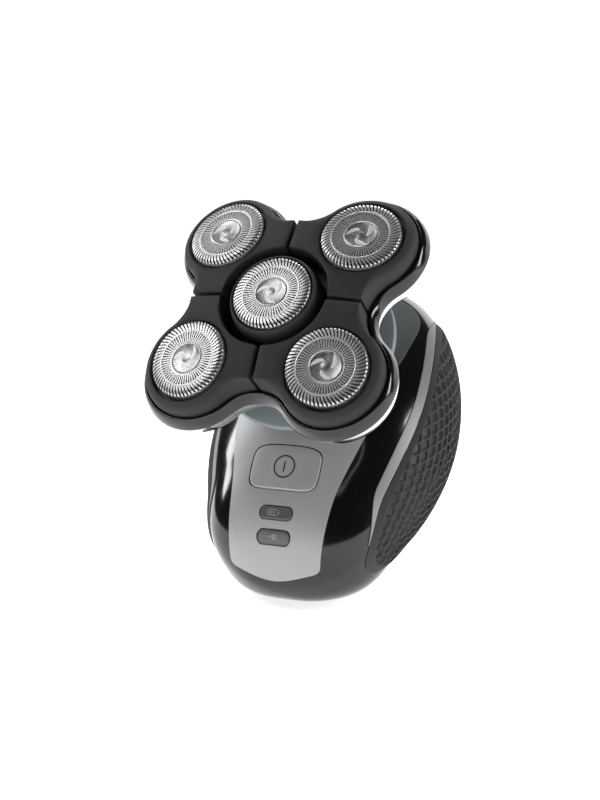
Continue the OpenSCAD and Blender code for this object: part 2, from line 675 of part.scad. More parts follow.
// ---- guards and cutters, with local Z up through a guard's top ----
module guard_one(flange_r) difference() {
    rotate_extrude($fn = 120) polygon([
        [0, 0], [guard_r - 2.4, -0.12], [guard_r - 0.3, -0.4], [guard_r, -0.75], [guard_r, flange_z],
        [flange_r, flange_z], [flange_r, flange_z - flange_t], [guard_r - guard_t, flange_z - flange_t],
        [guard_r - guard_t, -0.45 - guard_t], [guard_r - 2.4, -0.12 - guard_t], [0, -guard_t]]);
    for (i = [0 : guard_slots - 1]) rotate([0, 0, 360 * i / guard_slots]) {
        translate([8.4, -0.2, -2]) cube([2.1, 0.4, 3]);
        translate([5.2, -0.16, -2]) cube([2.6, 0.32, 3]);
    }
}
module cutter_one() difference() {
    union() {
        translate([0, 0, blade_z - blade_h - cutter_t]) cylinder(h = cutter_t, r = blade_out, $fn = 96);
        for (i = [0 : blades - 1]) rotate([0, 0, 360 * i / blades])
            translate([blade_in, -0.5, blade_z - blade_h - eps])
                cube([blade_out - blade_in - 0.1, 1, blade_h + eps]);
        translate([0, 0, hub_low]) cylinder(h = blade_z - blade_h - 0.1 - hub_low, r = hub_r, $fn = 64);
    }
    translate([0, 0, hub_low - 1]) cylinder(h = -hub_low - 3, r = socket_r, $fn = 64);
}
module guard(i) color("#c9cacc") head_frame() difference() {
    at_lobe(i) guard_one(i == 5 ? cone_r - cone_wall - 0.1 : frame_r - 0.3);
    if (i < 5) core_cut();
}
module cutter(i) color("#a9abad") head_frame() at_lobe(i) cutter_one();
module centre_cone() color("#191b1c") head_frame() rotate_extrude($fn = 120) polygon([
    [guard_r + 0.35, -0.9], [guard_r + 0.7, -0.75], [cone_r - 0.2, -3.6], [cone_r, -5], [cone_r, cone_low],
    [cone_r - cone_wall, cone_low], [cone_r - cone_wall, flange_z], [guard_r + 0.35, flange_z]]);

for (i = [1 : 4]) {
    planet_gear(i);
    petal(i);
    petal_frame(i);
}
for (i = [1 : 5]) {
    guard(i);
    cutter(i);
}
front_housing();
rear_housing();
front_panel();
deck_plate();
neck_collar();
neck_post();
grip_left();
grip_right();
strip_left();
strip_right();
foot_pad();
power_button();
button_switch();
circuit_board();
battery_lens();
charge_lens();
indicator_leds();
battery_cell();
battery_tabs();
chassis();
motor();
motor_pinion();
gear_bracket();
drive_gear();
charging_socket();
socket_pins();
housing_screws();
neck_seal();
trim_ring();
head_casing();
head_base();
gear_plate();
hinge_pins();
head_screws();
sun_gear();
centre_cone();
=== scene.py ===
import json
import math

import bmesh
import bpy
from bpy.props import FloatProperty, FloatVectorProperty, IntProperty, PointerProperty
from mathutils import Matrix, Vector


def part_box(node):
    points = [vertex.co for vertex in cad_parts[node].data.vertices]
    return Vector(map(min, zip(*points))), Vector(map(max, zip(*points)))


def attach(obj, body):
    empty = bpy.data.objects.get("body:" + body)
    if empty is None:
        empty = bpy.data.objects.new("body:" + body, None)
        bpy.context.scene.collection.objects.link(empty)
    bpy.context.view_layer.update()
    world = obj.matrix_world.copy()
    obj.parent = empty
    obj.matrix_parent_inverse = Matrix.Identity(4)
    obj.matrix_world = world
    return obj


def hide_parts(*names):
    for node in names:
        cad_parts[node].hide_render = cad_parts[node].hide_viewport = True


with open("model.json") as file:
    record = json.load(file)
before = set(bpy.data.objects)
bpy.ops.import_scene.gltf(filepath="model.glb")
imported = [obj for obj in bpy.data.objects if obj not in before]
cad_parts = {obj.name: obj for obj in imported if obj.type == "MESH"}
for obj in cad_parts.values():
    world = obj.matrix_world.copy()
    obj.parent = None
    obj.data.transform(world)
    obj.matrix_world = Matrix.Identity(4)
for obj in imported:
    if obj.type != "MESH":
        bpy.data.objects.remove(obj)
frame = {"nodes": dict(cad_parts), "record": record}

bl_info = {
    "name": "Palm shaver",
    "version": (1, 0, 0),
    "blender": (4, 5, 0),
    "location": "View3D > Sidebar > Shaver",
    "description": "Builds the visible pieces of a five-cutter palm shaver around its frame",
    "category": "Object",
}

MM = 0.001

# Where the body's axis and the head's face lie, in mm and degrees
BODY_Y, BODY_Z, BODY_LEAN = 17.2, 43.4, math.radians(41.7)
HEAD_Y, HEAD_Z, HEAD_TILT = -30.0, 91.2, math.radians(53.7)

# The body's egg form: half sizes across, along and through, and how far its shells lie under its skins
HALF_W, HALF_L, HALF_T = 36.8, 58.0, 28.3
SKIN = 0.35
SHELL_T, PLATE_T = 1.4, 0.3

# The flanks' outlines: half length and half height of the grips and of the strips' inner edges
GRIP_L, GRIP_H = 46.4, 15.5
STRIP_L, STRIP_H, STRIP_W = 46.9, 15.9, 2.3

# The deck's middle along the body, and its half width and half length
DECK_S, DECK_W, DECK_L = 20.5, 23.2, 24.3

# The head's outline: four lobes with hollows between them
LOBE_PITCH, LOBE_R, CROTCH_R = 20.7, 17.0, 28.0
DOME_R = 187.0
CORNER_DIST = LOBE_PITCH * math.sqrt(2)
LOBE_TILT = math.asin(CORNER_DIST / DOME_R)
LOBE_DROP = DOME_R - math.sqrt(DOME_R ** 2 - CORNER_DIST ** 2)
RISE = CROTCH_R - LOBE_PITCH
FILLET_R = (LOBE_PITCH ** 2 + RISE ** 2 - LOBE_R ** 2) / (2 * (LOBE_R - RISE))
FILLET_D = CROTCH_R + FILLET_R
TANGENT = math.atan2(-LOBE_PITCH, FILLET_D - LOBE_PITCH)

CORNERS = (1, 2, 3, 4)
PLACES = (1, 2, 3, 4, 5)


# ---- places ----
def body_point(x, s, c):
    """A point s along the body's axis and c towards its front, in metres."""
    return Vector((x,
                   BODY_Y + s * math.cos(BODY_LEAN) - c * math.sin(BODY_LEAN),
                   BODY_Z + s * math.sin(BODY_LEAN) + c * math.cos(BODY_LEAN))) * MM


def face_point(x, y, z):
    """A point in the head's frame, whose z is the face's normal, in metres."""
    return Vector((x,
                   HEAD_Y + y * math.cos(HEAD_TILT) - z * math.sin(HEAD_TILT),
                   HEAD_Z + y * math.sin(HEAD_TILT) + z * math.cos(HEAD_TILT))) * MM


def corner_angle(place):
    return math.radians(45 + 90 * (place - 1))


def in_lobe(place, x, y, z):
    """A point given about one guard's own axis, in the head's frame, in mm."""
    if place == 5:
        return Vector((x, y, z))
    angle = corner_angle(place)
    out = Vector((math.cos(angle), math.sin(angle), 0))
    turn = Matrix.Rotation(LOBE_TILT, 3, Vector((-out.y, out.x, 0)))
    return turn @ Vector((x, y, z)) + out * CORNER_DIST - Vector((0, 0, LOBE_DROP))


def lobe_point(place, x, y, z):
    return face_point(*in_lobe(place, x, y, z))


# ---- forms ----
def ramp(value, low, high):
    t = min(max((value - low) / (high - low), 0), 1)
    return t * t * (3 - 2 * t)


def swell(s, power=1.9):
    """How full the body is at s, from 0 at its ends to 1 at its middle."""
    return max(1 - (abs(s) / HALF_L) ** power, 0) ** (1 / power)


def half_width(s):
    """The body stays wider towards its foot than towards its top."""
    return HALF_W * swell(s, 1.9 + 0.35 * ramp(-s, 30, 52))


def section_power(s):
    return 2.2 + 0.7 * ramp(-s, 28, 50)


def across(value, half, full, power):
    """The other half size of the section where one half size has the given value."""
    share = max(1 - (abs(value) / max(half, 1e-6)) ** power, 0)
    return full * share ** (1 / power)


def form_c(x, s):
    return across(x, half_width(s), HALF_T * swell(s), section_power(s))


def form_x(s, c):
    return across(c, HALF_T * swell(s), half_width(s), section_power(s))


def flower(angle, inset):
    """The head outline's distance from its centre at an angle, moved inwards by inset."""
    a = abs((angle + math.pi / 4) % (math.pi / 2) - math.pi / 4)
    lobe = LOBE_R - inset
    tangent = math.atan2(LOBE_PITCH + lobe * math.sin(TANGENT), LOBE_PITCH + lobe * math.cos(TANGENT))
    if a < tangent:
        hollow = FILLET_R + inset
        return FILLET_D * math.cos(a) - math.sqrt(hollow ** 2 - (FILLET_D * math.sin(a)) ** 2)
    a = math.pi / 4 - a
    return CORNER_DIST * math.cos(a) + math.sqrt(lobe ** 2 - (CORNER_DIST * math.sin(a)) ** 2)


def dome(x, y):
    """Height of the dome that the petals' tops lie on."""
    return -0.9 - (x * x + y * y) / (2 * DOME_R)


def rounded(angle, half_w, half_h, power):
    """A point of a rounded rectangle, drawn as a superellipse."""
    ca, sa = math.cos(angle), math.sin(angle)
    scale = (abs(ca / half_w) ** power + abs(sa / half_h) ** power) ** (-1 / power)
    return ca * scale, sa * scale


# ---- mesh making ----
def swept(rows, steps, place, closed=False):
    """Spins a line of rows into a full turn, then puts each vertex where place(row, angle) says."""
    bm = bmesh.new()
    line = [bm.verts.new((row + 1, 0, 0)) for row in range(rows)]
    pairs = list(zip(line, line[1:]))
    if closed:
        pairs.append((line[-1], line[0]))
    edges = [bm.edges.new(pair) for pair in pairs]
    bmesh.ops.spin(bm, geom=line + edges, cent=(0, 0, 0), axis=(0, 0, 1), dvec=(0, 0, 0),
                   angle=2 * math.pi, steps=steps, use_merge=True, use_duplicate=False)
    for vert in bm.verts:
        vert.co = place(round(vert.co.xy.length) - 1, math.atan2(vert.co.y, vert.co.x))
    bmesh.ops.remove_doubles(bm, verts=bm.verts, dist=1e-7)
    bmesh.ops.recalc_face_normals(bm, faces=bm.faces)
    return bm


def sheet(nu, nv, place, outside):
    """A grid whose vertices go where place(u, v) says, u and v from 0 to 1, facing outside."""
    bm = bmesh.new()
    bmesh.ops.create_grid(bm, x_segments=nu, y_segments=nv, size=0.5)
    for vert in bm.verts:
        vert.co = place(vert.co.x + 0.5, vert.co.y + 0.5)
    bm.normal_update()
    turned = sum(1 if face.normal.dot(outside) < 0 else -1 for face in bm.faces)
    if turned > 0:
        bmesh.ops.reverse_faces(bm, faces=bm.faces)
    return bm


def joined(parts):
    """One bmesh from several, which are freed."""
    mesh = bpy.data.meshes.new("joined")
    bm = bmesh.new()
    for part in parts:
        part.to_mesh(mesh)
        part.free()
        bm.from_mesh(mesh)
        mesh.clear_geometry()
    bpy.data.meshes.remove(mesh)
    return bm


def make_object(name, bm, material, sharp=40):
    mesh = bpy.data.meshes.new(name)
    bm.to_mesh(mesh)
    bm.free()
    mesh.materials.append(material)
    mesh.shade_smooth()
    mesh.set_sharp_from_angle(angle=math.radians(sharp))
    obj = bpy.data.objects.new(name, mesh)
    bpy.context.scene.collection.objects.link(obj)
    return obj


def piece(name, bm, finish, body, stands_for=(), thick=0.0, bevel=0.0, sharp=40):
    """Makes a finished piece that rides on a body and may stand for CAD nodes."""
    obj = make_object(name, bm, material(finish), sharp)
    if thick:
        solid = obj.modifiers.new("wall", "SOLIDIFY")
        solid.thickness = thick * MM
        solid.offset = -1
        solid.use_even_offset = True
    if bevel:
        edge = obj.modifiers.new("edge", "BEVEL")
        edge.width = bevel * MM
        edge.segments = 3
        edge.limit_method = "ANGLE"
        edge.angle_limit = math.radians(50)
        edge.harden_normals = False
    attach(obj, body)
    if stands_for:
        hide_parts(*stands_for)
    return obj


# ---- finishes ----
def new_nodes(name):
    made = bpy.data.materials.new(name)
    made.use_nodes = True
    tree = made.node_tree
    return made, tree, tree.nodes["Principled BSDF"]


def noise(tree, scale, detail=4.0, rough=0.5, stretch=(1, 1, 1)):
    coords = tree.nodes.new("ShaderNodeTexCoord")
    mapping = tree.nodes.new("ShaderNodeMapping")
    mapping.inputs["Scale"].default_value = stretch
    texture = tree.nodes.new("ShaderNodeTexNoise")
    texture.inputs["Scale"].default_value = scale
    texture.inputs["Detail"].default_value = detail
    texture.inputs["Roughness"].default_value = rough
    tree.links.new(coords.outputs["Object"], mapping.inputs["Vector"])
    tree.links.new(mapping.outputs["Vector"], texture.inputs["Vector"])
    return texture.outputs["Fac"]


def spread(tree, source, low, high):
    """Maps a texture's middle range onto low to high."""
    ranged = tree.nodes.new("ShaderNodeMapRange")
    ranged.inputs["From Min"].default_value = 0.35
    ranged.inputs["From Max"].default_value = 0.65
    ranged.inputs["To Min"].default_value = low
    ranged.inputs["To Max"].default_value = high
    tree.links.new(source, ranged.inputs["Value"])
    return ranged.outputs["Result"]


def tint(tree, source, dark, light):
    mix = tree.nodes.new("ShaderNodeMix")
    mix.data_type = "RGBA"
    mix.inputs["A"].default_value = (*dark, 1)
    mix.inputs["B"].default_value = (*light, 1)
    tree.links.new(spread(tree, source, 0, 1), mix.inputs["Factor"])
    return mix.outputs["Result"]


def bump(tree, shader, height, strength, distance):
    node = tree.nodes.new("ShaderNodeBump")
    node.inputs["Strength"].default_value = strength
    node.inputs["Distance"].default_value = distance * MM
    tree.links.new(height, node.inputs["Height"])
    tree.links.new(node.outputs["Normal"], shader.inputs["Normal"])


def moulded(name, colour, rough, vary=0.05, grain=0.0, grain_scale=2500, coat=0.0, metallic=0.0, wander=0.12):
    """A moulded, painted or ground surface: slow colour drift, fine roughness change and a fine grain."""
    made, tree, shader = new_nodes(name)
    light = tuple(min(v * (1 + wander), 1) for v in colour)
    dark = tuple(v * (1 - wander) for v in colour)
    tree.links.new(tint(tree, noise(tree, 60, 3), dark, light), shader.inputs["Base Color"])
    tree.links.new(spread(tree, noise(tree, 400, 6, 0.6), rough - vary, rough + vary), shader.inputs["Roughness"])
    shader.inputs["Metallic"].default_value = metallic
    shader.inputs["Coat Weight"].default_value = coat
    shader.inputs["Coat Roughness"].default_value = 0.06
    if grain:
        bump(tree, shader, noise(tree, grain_scale, 2), grain, 0.05)
    return made


def brushed(name, colour, rough, stretch):
    """Ground or rolled steel with fine lines along one direction."""
    made, tree, shader = new_nodes(name)
    lines = noise(tree, 900, 4, 0.7, stretch)
    light = tuple(min(v * 1.12, 1) for v in colour)
    dark = tuple(v * 0.86 for v in colour)
    tree.links.new(tint(tree, lines, dark, light), shader.inputs["Base Color"])
    tree.links.new(spread(tree, lines, rough - 0.07, rough + 0.08), shader.inputs["Roughness"])
    shader.inputs["Metallic"].default_value = 1.0
    bump(tree, shader, lines, 0.15, 0.02)
    return made


FINISHES = {
    "gloss_black": lambda look: moulded("gloss_black", tuple(look.gloss_black), 0.14, 0.02, coat=0.3, wander=0.05),
    "satin_black": lambda look: moulded("satin_black", (0.022, 0.024, 0.026), 0.42, 0.06, 0.10),
    "petal_black": lambda look: moulded("petal_black", tuple(look.petal_black), 0.34, 0.05, 0.10, 3200),
    "deck_satin": lambda look: moulded("deck_satin", tuple(look.deck_satin), 0.40, 0.05, 0.10, 2600),
    "collar_grey": lambda look: moulded("collar_grey", (0.22, 0.25, 0.26), 0.40, 0.05, 0.08),
    "silver_panel": lambda look: moulded("silver_panel", tuple(look.silver), 0.13, 0.02, 0.02, 5200,
                                         coat=0.2, metallic=0.85, wander=0.03),
    "bright_trim": lambda look: moulded("bright_trim", (0.92, 0.92, 0.93), 0.12, 0.03, metallic=0.9, wander=0.02),
    "side_strip": lambda look: moulded("side_strip", (0.22, 0.22, 0.225), 0.24, 0.04, coat=0.3, metallic=0.8,
                                       wander=0.04),
    "grip_rubber": lambda look: moulded("grip_rubber", tuple(look.grip), 0.38, 0.06, 0.08, 4200),
    # Near black for the grip's leaf hollows: painted shade, darker than the rubber's own colour.
    "grip_cell_painted_shade": lambda look: moulded("grip_cell_painted_shade", (0.003, 0.003, 0.003), 0.45, 0.05),
    "foot_rubber": lambda look: moulded("foot_rubber", (0.016, 0.016, 0.017), 0.55, 0.06, 0.15, 2200),
    "lens_smoke": lambda look: moulded("lens_smoke", (0.085, 0.085, 0.09), 0.18, 0.03, coat=0.5),
    "icon_light": lambda look: moulded("icon_light", (0.22, 0.22, 0.225), 0.45, 0.04),
    # Near black of the button's engraved mark: painted shade of the engraving's groove.
    "groove_painted_shade": lambda look: moulded("groove_painted_shade", (0.012, 0.012, 0.013), 0.5, 0.05),
    "guard_steel": lambda look: brushed("guard_steel", (0.80, 0.80, 0.81), 0.42, (1, 1, 1)),
    "cap_steel": lambda look: brushed("cap_steel", (0.42, 0.425, 0.43), 0.38, (1, 0.25, 1)),
    "cap_inlay": lambda look: moulded("cap_inlay", (0.80, 0.80, 0.81), 0.45, 0.05, metallic=0.3),
    # Cutter steel far darker than bare steel: painted shade of the cutters lying in shadow under the guards, so the
    # slots read dark.
    "cutter_steel": lambda look: brushed("cutter_steel", (0.07, 0.07, 0.072), 0.34, (1, 1, 1)),
    "motor_steel": lambda look: brushed("motor_steel", (0.50, 0.50, 0.50), 0.32, (1, 6, 1)),
    "screw_steel": lambda look: brushed("screw_steel", (0.45, 0.45, 0.46), 0.30, (1, 1, 4)),
    "gear_white": lambda look: moulded("gear_white", (0.78, 0.76, 0.70), 0.45, 0.05, 0.06),
    "frame_grey": lambda look: moulded("frame_grey", (0.10, 0.105, 0.11), 0.48, 0.05, 0.10),
    "board_green": lambda look: moulded("board_green", (0.02, 0.12, 0.06), 0.35, 0.05),
    "cell_wrap": lambda look: moulded("cell_wrap", (0.06, 0.19, 0.42), 0.30, 0.05),
    "contact_brass": lambda look: brushed("contact_brass", (0.70, 0.55, 0.27), 0.28, (1, 1, 3)),
    "led_white": lambda look: moulded("led_white", (0.80, 0.80, 0.74), 0.30, 0.05),
}


def material(finish):
    """The finish's material, made once."""
    return bpy.data.materials.get(finish) or FINISHES[finish](bpy.context.scene.shaver_look)


SLOT_FINISH = {
    "black_gloss": "gloss_black", "black_satin": "satin_black", "petal_black": "petal_black",
    "deck_satin": "deck_satin", "collar_grey": "collar_grey", "silver_panel": "silver_panel",
    "bright_trim": "bright_trim", "side_strip": "side_strip", "grip_rubber": "grip_rubber",
    "foot_rubber": "foot_rubber", "lens_smoke": "lens_smoke", "guard_steel": "guard_steel",
    "cutter_steel": "cutter_steel", "motor_steel": "motor_steel", "screw_steel": "screw_steel",
    "gear_white": "gear_white", "frame_grey": "frame_grey", "board_green": "board_green",
    "cell_wrap": "cell_wrap", "contact_brass": "contact_brass", "led_white": "led_white",
}


# ---- sizes and colours that a user would change ----
class ShaverBody(bpy.types.PropertyGroup):
    panel_low: FloatProperty(name="Panel foot", description="Half width of the panel at its foot, mm",
                             default=13.8)
    panel_high: FloatProperty(name="Panel top", description="Half width of the panel under the head, mm",
                              default=19.8)
    panel_foot_s: FloatProperty(name="Panel foot place", description="Place of the panel's foot, mm",
                                default=-54.5)
    panel_top_s: FloatProperty(name="Panel top place", description="Place of the panel's top, mm", default=-4.0)
    grip_rise: FloatProperty(name="Grip rise", description="Height of the grips over the body, mm", default=0.7)
    leaf_w: FloatProperty(name="Leaf width", description="Pitch of the grip's leaves across, mm", default=3.1)
    leaf_l: FloatProperty(name="Leaf length", description="Pitch of the grip's leaves along, mm", default=6.4)
    button_w: FloatProperty(name="Button width", description="Width of the power button, mm", default=21.2)
    button_h: FloatProperty(name="Button height", description="Height of the power button, mm", default=12.8)
    lens_l: FloatProperty(name="Lens length", description="Length of an indicator lens, mm", default=10.0)
    lens_h: FloatProperty(name="Lens height", description="Height of an indicator lens, mm", default=3.3)


class ShaverHead(bpy.types.PropertyGroup):
    guard_r: FloatProperty(name="Guard radius", description="Radius of a guard, mm", default=11.25)
    slots: IntProperty(name="Slots", description="Slots in each ring of a guard", default=60, min=24, max=90)
    cap_r: FloatProperty(name="Cap radius", description="Radius of a guard's cap, mm", default=4.75)
    petal_gap: FloatProperty(name="Petal gap", description="Gap between two petals, mm", default=1.1)
    centre_r: FloatProperty(name="Centre opening", description="Radius of the petals' centre opening, mm",
                            default=15.75)


class ShaverLook(bpy.types.PropertyGroup):
    gloss_black: FloatVectorProperty(name="Gloss black", description="Colour of the gloss mouldings",
                                     subtype="COLOR", default=(0.004, 0.004, 0.0045))
    petal_black: FloatVectorProperty(name="Petal black", description="Colour of the petals",
                                     subtype="COLOR", default=(0.005, 0.0056, 0.006))
    deck_satin: FloatVectorProperty(name="Deck", description="Colour of the deck under the head",
                                    subtype="COLOR", default=(0.045, 0.055, 0.056))
    silver: FloatVectorProperty(name="Silver", description="Colour of the panel",
                                subtype="COLOR", default=(0.62, 0.62, 0.63))
    grip: FloatVectorProperty(name="Grip", description="Colour of the grips",
                              subtype="COLOR", default=(0.11, 0.11, 0.113))


# ---- the body ----
def panel_half(sizes, s):
    """Half width of the panel: nearly straight sides that flare under the head."""
    share = (s - sizes.panel_foot_s) / (sizes.panel_top_s - sizes.panel_foot_s)
    half = sizes.panel_low + (sizes.panel_high - sizes.panel_low) * share
    return half + 2.2 * ramp(s, -38, -14)


def on_panel(x, s, up):
    """A point up above the panel's surface."""
    return body_point(x, s, form_c(x, s) + up)


def shell_bm(front):
    """Half of the egg: the front half takes all but the tongue at the foot, the rear half takes the rest."""
    bm = bmesh.new()
    bmesh.ops.create_uvsphere(bm, u_segments=192, v_segments=128, radius=1)
    for vert in bm.verts:
        n = vert.co.normalized()
        s = HALF_L * n.z
        power = 2 / section_power(s)
        x = (half_width(s) - SKIN * swell(s)) * math.copysign(abs(n.x / max(n.xy.length, 1e-9)) ** power, n.x)
        c = (HALF_T - SKIN) * swell(s) * math.copysign(abs(n.y / max(n.xy.length, 1e-9)) ** power, n.y)
        vert.co = (x, s * (1 - SKIN / HALF_L), c)
    seam_c, tongue_w, tongue_s = -9.0, 14.2, -42.0
    for place, normal in (((0, 0, seam_c), (0, 0, 1)), ((tongue_w, 0, 0), (1, 0, 0)),
                          ((-tongue_w, 0, 0), (1, 0, 0)), ((0, tongue_s, 0), (0, 1, 0))):
        bmesh.ops.bisect_plane(bm, geom=bm.verts[:] + bm.edges[:] + bm.faces[:], dist=1e-4,
                               plane_co=place, plane_no=normal)
    doomed = []
    for face in bm.faces:
        x, s, c = face.calc_center_median()
        in_front = c > seam_c or (abs(x) < tongue_w and s < tongue_s)
        if in_front != front:
            doomed.append(face)
    bmesh.ops.delete(bm, geom=doomed, context="FACES")
    for vert in bm.verts:
        vert.co = body_point(*vert.co)
    bm.normal_update()
    centre = body_point(0, 0, 0)
    out = sum(1 if f.normal.dot(f.calc_center_median() - centre) > 0 else -1 for f in bm.faces)
    if out < 0:
        bmesh.ops.reverse_faces(bm, faces=bm.faces)
    return bm


class SHAVER_OT_shells(bpy.types.Operator):
    """Front and rear shells of the body, lying a little under its skins, with the button's and lenses' openings cut in
    the front one
    """
    bl_idname = "shaver.shells"
    bl_label = "Body shells"

    def execute(self, context):
        front = piece("front_shell", shell_bm(True), "gloss_black", "body", ["front_housing"], SHELL_T)
        cut_out(front, panel_openings(context.scene.shaver_body, 0.4))
        soften(front, 0.18)
        rear = piece("rear_shell", shell_bm(False), "gloss_black", "body", ["rear_housing"], SHELL_T)
        soften(rear, 0.18)
        return {"FINISHED"}


def pad(place_s, half_w, half_h, power, profile, steps=96, centre_x=0.0):
    """A rounded pad on the panel. Its profile is a list of (inset in mm or None at the middle, height)."""
    def place(row, angle):
        inset, up = profile[row]
        if inset is None:
            return on_panel(centre_x, place_s, up)
        dx, ds = rounded(angle, half_w - inset, half_h - inset, power)
        return on_panel(centre_x + dx, place_s + ds, up)
    return swept(len(profile), steps, place)


def pad_profile(half, round_r, low, rise=0.0):
    """Middle to edge: flat top, a quarter round, then straight down to low and closed below."""
    inner = [(half * share, rise) for share in (0.85, 0.6, 0.35)]
    turn = [(round_r * (1 - math.sin(math.radians(a))), rise - round_r * (1 - math.cos(math.radians(a))))
            for a in (0, 22, 45, 68, 90)]
    return [(None, rise)] + inner + turn + [(0.0, low), (half * 0.5, low), (None, low)]


def ring_profile(outer_inset, inner_inset, low, high):
    return [(outer_inset, low), (outer_inset, high), (inner_inset, high), (inner_inset, low)]


def flat_ring(place_s, half_w, half_h, power, profile, centre_x=0.0, steps=96):
    """A rounded ring on the panel, closed round its profile."""
    def place(row, angle):
        inset, up = profile[row]
        dx, ds = rounded(angle, half_w - inset, half_h - inset, power)
        return on_panel(centre_x + dx, place_s + ds, up)
    return swept(len(profile), steps, place, closed=True)


BUTTON_S, BATTERY_S, CHARGE_S = -30.3, -42.7, -48.5


def lens_pad(sizes, s, grow, profile):
    """A stadium on the panel that is as round as its height."""
    half_w, half_h = sizes.lens_l / 2 + grow, sizes.lens_h / 2 + grow

    def place(row, angle):
        inset, up = profile[row]
        if inset is None:
            return on_panel(0, s, up)
        r = half_h - inset
        dx = r * math.cos(angle) + math.copysign(half_w - half_h, math.cos(angle))
        return on_panel(dx, s + r * math.sin(angle), up)
    return swept(len(profile), 96, place)


def panel_openings(sizes, grow):
    """A cutter for the button's and the lenses' openings."""
    deep = [(None, 3.0), (0.0, 3.0), (0.0, -6.0), (None, -6.0)]
    return make_object("opening_cutter", joined([
        pad(BUTTON_S, sizes.button_w / 2 + grow, sizes.button_h / 2 + grow, 4.5, deep),
        lens_pad(sizes, BATTERY_S, grow, deep), lens_pad(sizes, CHARGE_S, grow, deep)]), material("gloss_black"))


def cut_out(obj, cutter):
    cut = obj.modifiers.new("openings", "BOOLEAN")
    cut.operation = "DIFFERENCE"
    cut.solver = "EXACT"
    cut.object = cutter
    apply_modifiers(obj)
    bpy.data.objects.remove(cutter)


def soften(obj, width):
    """Rounds a piece's sharp edges."""
    edge = obj.modifiers.new("edge", "BEVEL")
    edge.width = width * MM
    edge.segments = 2
    edge.limit_method = "ANGLE"
    edge.angle_limit = math.radians(50)


class SHAVER_OT_panel(bpy.types.Operator):
    """Silver front panel with its openings for the button and the lenses"""
    bl_idname = "shaver.panel"
    bl_label = "Front panel"

    def execute(self, context):
        sizes = context.scene.shaver_body

        def place(u, v):
            side = 2 * u - 1
            top = sizes.panel_top_s
            low = sizes.panel_foot_s - 2.4 * (1 - side * side)
            s = low + (top - low) * v
            corner = 1.6 * (1 - min((s - low) / 1.6, 1)) ** 2
            return on_panel(side * (panel_half(sizes, s) - corner), s, 0)
        bm = sheet(72, 144, place, body_point(0, 0, 1) - body_point(0, 0, 0))
        panel = piece("panel", bm, "silver_panel", "body", ["front_panel"], PLATE_T)
        cut_out(panel, panel_openings(sizes, 0.28))
        soften(panel, 0.1)
        return {"FINISHED"}


def apply_modifiers(obj):
    """Bakes an object's modifiers into its mesh."""
    graph = bpy.context.evaluated_depsgraph_get()
    mesh = bpy.data.meshes.new_from_object(obj.evaluated_get(graph))
    old = obj.data
    obj.modifiers.clear()
    obj.data = mesh
    mesh.set_sharp_from_angle(angle=math.radians(40))
    bpy.data.meshes.remove(old)


class SHAVER_OT_controls(bpy.types.Operator):
    """Power button with its engraved mark, and the two indicator lenses with their icons"""
    bl_idname = "shaver.controls"
    bl_label = "Button and lenses"

    def execute(self, context):
        sizes = context.scene.shaver_body
        half_w, half_h = sizes.button_w / 2, sizes.button_h / 2
        button = pad(BUTTON_S, half_w, half_h, 4.5, pad_profile(half_h, 0.5, -3.6, 0.12), 128)
        piece("button", button, "silver_panel", "button", ["power_button"])
        # The engraved mark is not cut in. It is drawn as a thin near-black ring and bar standing just proud of the
        # button, as painted shade standing for the groove.
        mark = joined([
            flat_ring(BUTTON_S, 3.3, 3.3, 2, ring_profile(0, 0.42, 0.0, 0.15)),
            pad(BUTTON_S, 0.24, 1.8, 4, pad_profile(0.24, 0.05, 0.0, 0.15), 32)])
        piece("button_mark", mark, "groove_painted_shade", "button")
        for name, s in (("battery", BATTERY_S), ("charge", CHARGE_S)):
            lens = lens_pad(sizes, s, 0, pad_profile(sizes.lens_h / 2, 0.3, -1.8, 0.04))
            piece(name + "_window", lens, "lens_smoke", "body", [name + "_lens"])
        battery = joined([
            flat_ring(BATTERY_S, 1.7, 0.85, 4, ring_profile(0, 0.24, 0.02, 0.09), -1.0),
            pad(BATTERY_S, 0.16, 0.4, 3, pad_profile(0.16, 0.03, 0.02, 0.09), 24, 0.95)]
            + [pad(BATTERY_S, 0.22, 0.45, 3, pad_profile(0.2, 0.03, 0.02, 0.09), 24, x)
               for x in (-2.0, -1.3, -0.6)])
        piece("battery_icon", battery, "icon_light", "body")
        plug = joined([
            pad(CHARGE_S, 0.75, 0.62, 3, pad_profile(0.5, 0.04, 0.02, 0.09), 32),
            pad(CHARGE_S, 0.7, 0.13, 3, pad_profile(0.1, 0.02, 0.02, 0.09), 24, -1.35),
            pad(CHARGE_S + 0.33, 0.4, 0.12, 3, pad_profile(0.1, 0.02, 0.02, 0.09), 24, 1.05),
            pad(CHARGE_S - 0.33, 0.4, 0.12, 3, pad_profile(0.1, 0.02, 0.02, 0.09), 24, 1.05)])
        piece("charge_icon", plug, "icon_light", "body")
        return {"FINISHED"}


